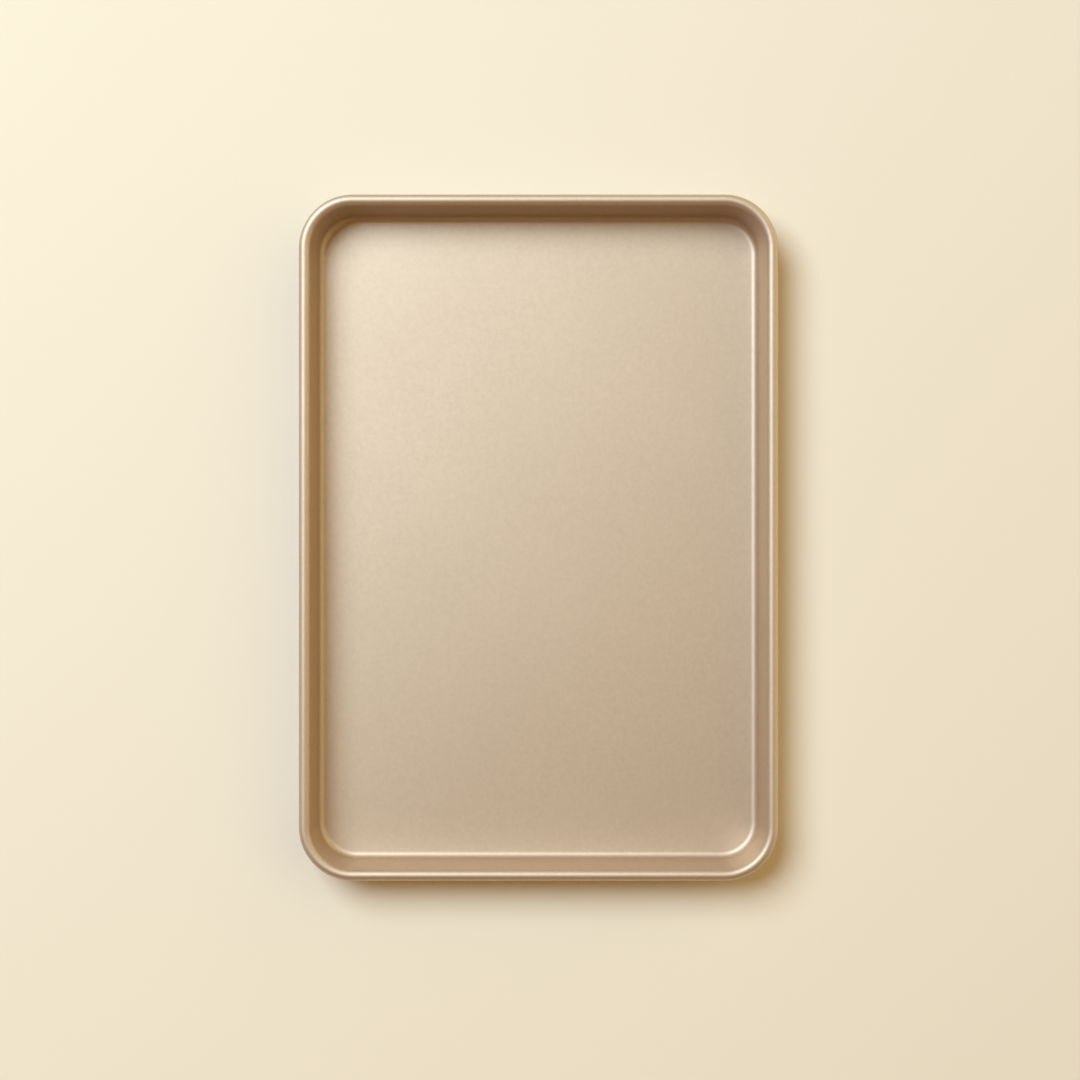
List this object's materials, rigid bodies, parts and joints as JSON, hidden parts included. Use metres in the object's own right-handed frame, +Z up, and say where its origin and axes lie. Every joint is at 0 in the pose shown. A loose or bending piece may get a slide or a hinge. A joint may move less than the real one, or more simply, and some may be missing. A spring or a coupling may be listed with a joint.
{
  "type": "baking pan",
  "caption": "Shallow rectangular baking pan with rounded corners, drafted walls and a curled rim that is stiffened by a wire; food is baked on its flat floor.",
  "frame": {"origin": "middle of the pan's outline, on the plane that the underside of the floor rests on", "axes": "+Z up out of the pan's mouth, +Y along the long sides, +X across the pan"},
  "size_m": [0.235, 0.3364, 0.025],
  "materials": {
    "champagne_coating": "satin champagne-gold non-stick coating with fine metal flake on carbon steel",
    "zinc_wire": "drawn steel wire, zinc plated"
  },
  "bodies": {
    "root": {"pan_shell": "champagne_coating", "rim_wire": "zinc_wire"}
  },
  "joints": []
}
